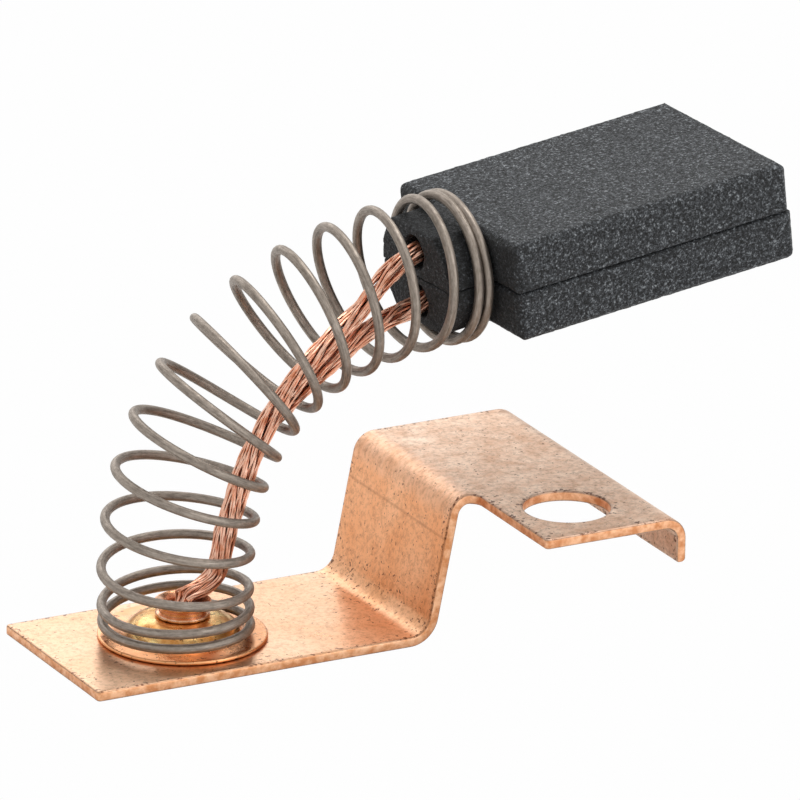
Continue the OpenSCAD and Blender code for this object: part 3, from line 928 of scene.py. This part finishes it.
mouth_points = [Vector((x, mouth_top + z)) for x, z in OVER_MOUTH]
way_points = [Vector((x * hole_mouth.x, mouth_top + z * (hole_mouth.y - mouth_top))) for x, z in WAY]
rope_line = Line(through, [Vector((0, rope_start)), Vector((0, dome_top))] + mouth_points
                 + way_points + [hole_mouth + 0.5 * along, hole_mouth + (PLUG_FACE - 0.02) * along], 160)
eyelet_depth = mouth_top - rope_start
print("each rope is", round(rope_line.total, 1), "mm long")

# %% Thickness of the ropes
ROPE = 1.06
ROPE_IN_EYELET = 0.83


def ease(u):
    """Goes from 0 to 1 as u does, and starts and ends gently."""
    v = max(0.0, min(1.0, u))
    return v * v * (3 - 2 * v)


def rope_radius(s):
    """The eyelet squeezes the ropes, and they swell above it."""
    return (ROPE_IN_EYELET + (ROPE - ROPE_IN_EYELET) * ease((s - eyelet_depth) / 4)) / 2


print("ropes are", ROPE_IN_EYELET, "mm thick in the eyelet and", ROPE, "mm above it")

# %% Parting, turn and sway of the ropes
ROPE_GAP = 0.03
HOLE_PITCH = 2.5
PARTING = 4.2
UPRIGHT = 7
WRAP = 0.17
SWAY = 0.8
SWAY_IN = 6


def rope_spread(s):
    """Half the distance between the two ropes."""
    near = rope_radius(s) + ROPE_GAP
    left = rope_line.total - s
    return near + (HOLE_PITCH / 2 - near) * ease(1 - (left - PLUG_FACE) / PARTING)


def rope_turn(s):
    """The ropes lie side by side above the eyelet and one above the other in the block."""
    first = eyelet_depth + UPRIGHT
    return -math.tau * WRAP * (1 - ease((s - first) / (rope_line.total - PARTING - first)))


def rope_sway(s):
    """The ropes bow forwards between their ends."""
    return -SWAY * ease((s - eyelet_depth) / SWAY_IN) * ease((rope_line.total - PARTING - s) / SWAY_IN)


def rope_frame(s, side):
    """Middle of a rope and its two crosswise directions."""
    c, d = rope_line.at(s)
    up_way, across = Vector((-d.y, 0, d.x)), Vector((0, 1, 0))
    a = rope_turn(s)
    apart = side * rope_spread(s) * (math.cos(a) * up_way + math.sin(a) * across)
    return Vector((c.x, rope_sway(s), c.y)) + apart, up_way, across


print("ropes part over", PARTING, "mm before the holes")

# %% How the bundles stray
FAN = 0.75


def looseness(s):
    """How far the bundles stray from their round: least in the middle, most near both ends."""
    near_neck = ease((s - rope_line.total + PARTING + 3) / 4)
    near_eyelet = 1 - ease((s - eyelet_depth - 1) / 4)
    return 0.12 + 0.16 * near_neck + 0.14 * near_eyelet


def fan(s, bundle):
    """Where the ropes leave the eyelet some bundles bow out sideways over its mouth."""
    out = ease((s - eyelet_depth + 0.2) / 0.7) * (1 - ease((s - eyelet_depth - 0.6) / 1.6))
    strength = FAN * out * (0.5 + 0.5 * math.sin(2.4 * bundle + 0.6))
    return Vector((-strength, -0.3 * strength, 0.1 * strength))


print("bundles bow out by up to", FAN, "mm over the mouth")

# %% Bundles and wires
BUNDLES = 7
LAY = 13
WIRES = 4
WIRE_LAY = 5.5
# How far out the outer bundles' middles lie when they touch, as a share of the rope's radius
BUNDLE_SHARE = 1 / (1 + math.sin(math.pi / BUNDLES))
# Bundles are drawn a little thin, so that a dark groove stays between them
SLACK = 0.94
# Radius of each of four wires that fill a round bundle, as a share of the bundle's
WIRE_SHARE = 0.414
print("each rope has", (BUNDLES + 1) * WIRES, "wires")

# %% Wires of the ropes
def rope_mesh(side, steps=200, sides=6):
    """All the wires of one rope: a core bundle, and the other bundles round it."""
    vertices, faces = [], []
    frames = [(s, *rope_frame(s, side)) for s in
              ((rope_line.total - 0.01) * i / steps for i in range(steps + 1))]
    for bundle in range(BUNDLES + 1):
        core = bundle == BUNDLES
        for wire in range(WIRES):
            rings = []
            for s, middle, up_way, across in frames:
                r = rope_radius(s)
                bundle_r = r * ((2 * BUNDLE_SHARE - 1) if core else (1 - BUNDLE_SHARE)) * SLACK
                held = ease((s - eyelet_depth) / 0.8) * ease((rope_line.total - PLUG_FACE - s) / 1.5)
                stray = looseness(s) * held
                wander = noise.noise(Vector((s / 1.9, bundle * 7.1, side * 3.3)))
                own = noise.noise(Vector((s / 1.3, bundle * 5.3 + wire * 2.7, side * 4.9)))
                bundle_at = 0 if core else r * BUNDLE_SHARE * (1 + stray * wander)
                v = math.tau * (bundle / BUNDLES + s / LAY + 0.5 * stray * wander)
                p = middle + fan(s, bundle) + bundle_at * (math.cos(v) * up_way + math.sin(v) * across)
                wire_r = bundle_r * WIRE_SHARE
                w = math.tau * (wire / WIRES - s / WIRE_LAY + 0.15 * own)
                p = p + (bundle_r - wire_r) * (1 + 0.5 * own) * (math.cos(w) * up_way + math.sin(w) * across)
                rings.append([placed(p + wire_r * (math.cos(a) * up_way + math.sin(a) * across))
                              for a in (math.tau * j / sides for j in range(sides))])
            part, part_faces = tube(rings)
            faces += [tuple(i + len(vertices) for i in face) for face in part_faces]
            vertices += part
    return vertices, faces


rope_meshes = {"rope_upper": rope_mesh(1), "rope_lower": rope_mesh(-1)}
print("points in a rope:", len(rope_meshes["rope_upper"][0]))

# %% [markdown]
# ## Finish of the ropes
#
# The wires are soft bare copper, pink and bright where they rub, with painted shade deep in
# the grooves. Each wire could have its own dark side painted, but the grooves run everywhere.
# So a node that feels how enclosed a point is finds them, and paints them darker as shade.

# %% Bare copper wire
# Soft bare copper wire, drawn fine: pink metal, with painted shade that darkens the grooves
copper_wire, add, shader, mm = new_finish("bare_copper_wire", Metallic=1.0)
blush = add("TexNoise", {"Vector": mm, "Scale": 1.6, "Detail": 5.0, "Roughness": 0.65})
coppery = add("ValToRGB", {0: blush}, [(0.34, "#e39a76"), (0.62, "#ffd2ba")])
# Painted shade: the grooves, about 0.25 mm across, are darker the more enclosed a point is
grooves = add("AmbientOcclusion", {"Distance": 0.25 * MM}, samples=4).outputs["AO"]
groove_shade = add("MapRange", {"Value": grooves, "From Min": 0.12, "From Max": 0.5, "To Min": 0.9, "To Max": 0})
groove_shaded_copper = add("Mix", {0: groove_shade, 6: coppery, 7: linear("#7a3520")}, data_type="RGBA")
feed(shader, {"Base Color": groove_shaded_copper})
bright = add("MapRange", {"Value": blush, "From Min": 0.3, "From Max": 0.7, "To Min": 0.42, "To Max": 0.3})
feed(shader, {"Roughness": bright})

for name, node in (("rope_upper", "pigtail_upper"), ("rope_lower", "pigtail_lower")):
    rope = mesh_object(name, *rope_meshes[name], copper_wire, "copper_rope")
    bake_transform(rope)
    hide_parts(node)
    print(name, "has", len(rope.data.polygons), "faces")

# %% [markdown]
# ## The carbon block
#
# The block rubs on the motor's commutator. It is pressed in two halves from carbon and copper
# powder, and its grains and crumbly edges show. A bevel would leave every edge clean, and a
# bump can't break an outline. So each half starts as the CAD solid, gets a fine skin of even
# squares, and every point of the skin is pushed in by a noise as fine as the grain.

# %% The block's own frame
CHAMFER = 0.3
JOINT_CHAMFER = 0.12
HALF_WIDTH = 5.5
# Points of the CAD solid are told apart by where they lie, within this distance
NEAR = 0.02


def to_block(point_mm):
    """From the object's frame to the block's: along its axis from the shoulder, across, and up."""
    x, y = point_mm.x - seat_x, point_mm.y - seat_y
    out = x * math.cos(SWING) + y * math.sin(SWING) - shoulder.x
    up_by = point_mm.z - shoulder.y
    return Vector((out * along.x + up_by * along.y, y * math.cos(SWING) - x * math.sin(SWING),
                   up_by * along.x - out * along.y))


def from_block(point):
    """Back from the block's frame to the object's."""
    return Vector(placed((shoulder.x + point.x * along.x - point.z * along.y, point.y,
                          shoulder.y + point.x * along.y + point.z * along.x)))


def sharpen_joint(mesh):
    """Pressing wears the joint's edges less than the outer ones, so their chamfer is narrower."""
    shift = CHAMFER - JOINT_CHAMFER
    local = [to_block(vertex.co / MM) for vertex in mesh.vertices]
    far_end = max(p.x for p in local)
    for vertex, p in zip(mesh.vertices, local):
        if abs(abs(p.z) - CHAMFER - 0.01) < NEAR and p.x > -0.05:
            p.z -= math.copysign(shift, p.z)
        elif abs(p.z) < 0.03 and p.x > 0.1:
            if abs(abs(p.y) - (HALF_WIDTH - CHAMFER)) < NEAR:
                p.y += math.copysign(shift, p.y)
            if abs(p.x - (far_end - CHAMFER)) < NEAR:
                p.x += shift
            if abs(p.x - CHAMFER) < NEAR:
                p.x -= shift
        vertex.co = from_block(p) * MM


print("joint's chamfer is", JOINT_CHAMFER, "mm wide")

# %% Fine skin and its grain
SKIN = 0.1 * MM
DEPTH = 0.03 * MM


def fine_skin(piece):
    """The piece's surface as a mesh of small even squares."""
    weld = piece.modifiers.new("weld", "WELD")
    weld.merge_threshold = 0.001 * MM
    skin = piece.modifiers.new("skin", "REMESH")
    skin.mode = "VOXEL"
    skin.voxel_size = SKIN
    seen = piece.evaluated_get(bpy.context.evaluated_depsgraph_get())
    fine = bpy.data.meshes.new_from_object(seen)
    piece.modifiers.clear()
    return fine


def grain_push(p):
    """How far the skin is pushed in at a point in millimetres: grains of 0.2 mm, pits of 0.4 mm."""
    grains = noise.noise(p * 4.5) * 0.6 + noise.noise(p * 9) * 0.4
    pits = max(0.0, noise.noise(p * 2.3 + Vector((40, 0, 0))) - 0.35) * 2
    return DEPTH * min(1.0, max(0.0, 0.35 + 0.6 * grains + pits))


print("skin of", SKIN / MM, "mm, pushed in by up to", DEPTH / MM, "mm")

# %% Grainy halves
def grainy(node, name):
    """A copy of a CAD solid with a narrower chamfer at the joint and a grainy skin."""
    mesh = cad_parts[node].data.copy()
    sharpen_joint(mesh)
    piece = bpy.data.objects.new(name, mesh)
    bpy.context.scene.collection.objects.link(piece)
    piece.data = fine_skin(piece)
    work = bmesh.new()
    work.from_mesh(piece.data)
    for face in work.faces:
        face.smooth = True
    work.normal_update()
    pushes = [grain_push(vertex.co / MM) for vertex in work.verts]
    for vertex, push in zip(work.verts, pushes):
        vertex.co -= vertex.normal * push
    work.to_mesh(piece.data)
    work.free()
    return piece


carbon_halves = {node: grainy(node, node.replace("carbon", "brush_half"))
                 for node in ("carbon_upper", "carbon_lower")}
print({node: len(piece.data.polygons) for node, piece in carbon_halves.items()})

# %% [markdown]
# ## Finish of the block
#
# Graphite and carbon are nearly black, yet flat grains in them glint. A plain dark colour would
# lose the glints, and a picture of grit would repeat. Two noises of nearly the grain's size
# set colour, gloss and relief together, so that a pale grain is also a glossy, raised one. The
# pale grains are partly the grit's own tone and partly painted glints.

# %% Grit of the pressed carbon
# Graphite and carbon powder pressed and baked, with copper grains: a dull dark grit in which
# grains of 0.1 to 0.2 mm catch the light, and are painted pale as glints too. It isn't a metal,
# and its IOR stays at 1.5.
pressed_carbon, add, shader, mm = new_finish("pressed_carbon", Metallic=0.0)
coarse = add("TexNoise", {"Vector": mm, "Scale": 5.6, "Detail": 3.0, "Roughness": 0.8})
fine = add("TexNoise", {"Vector": mm, "Scale": 11.0, "Detail": 2.0, "Roughness": 0.6})
less_fine = add("Math", {0: fine, 1: 0.4}, operation="MULTIPLY")
grit = add("Math", {0: coarse, 1: 0.6, 2: less_fine}, operation="MULTIPLY_ADD")
print("grit of", round(1 / 5.6, 2), "and", round(1 / 11, 2), "mm")

# %% Colour and gloss of the block
# The neck and the shoulder face are drawn darker than the pressed faces
axis = Vector((math.cos(PITCH) * math.cos(SWING), math.cos(PITCH) * math.sin(SWING), math.sin(PITCH)))
shoulder_at = axis.dot(Vector(placed((shoulder.x, 0, shoulder.y))))
on_axis = add("VectorMath", {0: mm, 1: axis}, operation="DOT_PRODUCT").outputs["Value"]
neck_darkening = add("MapRange", {
    "Value": on_axis, "From Min": shoulder_at + 0.05, "From Max": shoulder_at + 0.35,
    "To Min": 0.065, "To Max": 0})
shown = add("Math", {0: grit, 1: neck_darkening}, operation="SUBTRACT")
# Painted glints: the palest grains of the grit are partly painted glints
grit_and_glint_colour = add("ValToRGB", {0: shown}, [
    (0.41, "#070808"), (0.5, "#1e2023"), (0.57, "#44484c"), (0.65, "#8a8e91")])
feed(shader, {"Base Color": grit_and_glint_colour})
dullness = add("MapRange", {
    "Value": grit, "From Min": 0.4, "From Max": 0.62, "To Min": 0.9, "To Max": 0.55})
feed(shader, {"Roughness": dullness})
tiny = add("Bump", {"Height": grit, "Strength": 1.0, "Distance": 0.12 * MM})
feed(shader, {"Normal": tiny})
print("shoulder lies", round(shoulder_at, 2), "mm along the block's axis")

# %% Dress the block
for node, half_block in carbon_halves.items():
    half_block.data.materials.clear()
    half_block.data.materials.append(pressed_carbon)
    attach(half_block, "brush")
    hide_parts(node)
print("block dressed")

# %% [markdown]
# ## The plugs in the block
#
# Copper powder is tamped round each rope's end, in its hole in the neck, to hold it there. It
# could have a grainy mesh like the block's, but only its face shows, deep in the hole. So the
# CAD solid keeps its shape and gets a crumbly finish.

# %% Tamped copper powder
# Copper powder tamped round each rope: a dull brown crumb with grains of about 0.1 mm
copper_powder, add, shader, mm = new_finish("tamped_copper_powder", Metallic=1.0, Roughness=0.6)
crumbs = add("TexNoise", {"Vector": mm, "Scale": 8.0, "Detail": 5.0, "Roughness": 0.7})
crumbly = add("ValToRGB", {0: crumbs}, [(0.35, "#5c3322"), (0.65, "#a8684a")])
feed(shader, {"Base Color": crumbly})
for node in ("tamping_upper", "tamping_lower"):
    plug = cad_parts[node]
    plug.data.materials.clear()
    plug.data.materials.append(copper_powder)
print("plugs dressed")

# %% [markdown]
# ## Floor and light
#
# The brush lies on a white sheet under soft lamps. A lit sheet alone turns grey towards its
# edges. So the floor shows as plain white to the camera, and still gives its light back to the
# metal above it. Metal mirrors what is round it, so the world is pale too and the lamps are
# large.

# %% Floor
FLOOR_SIZE = 1.5
floor_at = (foot_z - GAP) * MM
floor_mesh = bpy.data.meshes.new("floor")
corners = [(x * FLOOR_SIZE, y * FLOOR_SIZE, floor_at) for x, y in ((-1, -1), (1, -1), (1, 1), (-1, 1))]
floor_mesh.from_pydata(corners, [], [(0, 1, 2, 3)])
floor = bpy.data.objects.new("floor", floor_mesh)
bpy.context.scene.collection.objects.link(floor)
# Matt white paper: pressed fibres scatter the light evenly, so it shows no lamp
white_sheet = bpy.data.materials.new("white_sheet")
add = partial(add_node, empty_tree(white_sheet))
seen = add("LightPath")
matt = add("BsdfDiffuse", {"Color": linear("#e6e6e6")})
bright = add("Emission", {"Color": linear("#fefefe")})
either = add("MixShader", {0: seen.outputs["Is Camera Ray"], 1: matt, 2: bright})
add("OutputMaterial", {"Surface": either})
floor.data.materials.append(white_sheet)
print("floor at", round(floor_at / MM, 2), "mm")

# %% Lamps
def lamp(name, place_mm, size_mm, power):
    """A soft square lamp that looks at the brush, placed from the brush's middle."""
    light = bpy.data.lights.new(name, "AREA")
    light.size = size_mm * MM
    light.energy = power
    holder = bpy.data.objects.new(name, light)
    holder.location = AIM + Vector(place_mm) * MM
    holder.rotation_euler = (AIM - holder.location).to_track_quat("-Z", "Y").to_euler()
    bpy.context.scene.collection.objects.link(holder)


lamp("key", (150, 40, 360), 200, 0.6)
lamp("fill", (160, -340, 140), 220, 0.3)
lamp("rim", (60, 420, 210), 320, 0.38)
print("three lamps set")

# %% World
world = bpy.data.worlds.new("studio")
bpy.context.scene.world = world
add = partial(add_node, empty_tree(world))
seen = add("LightPath")
room = add("Background", {"Color": linear("#f4f4f4"), "Strength": 1.0})
page = add("Background", {"Color": linear("#fefefe"), "Strength": 1.0})
either = add("MixShader", {0: seen.outputs["Is Camera Ray"], 1: room, 2: page})
add("OutputWorld", {"Surface": either})
bpy.context.scene.view_settings.view_transform = "Standard"
print("world set")
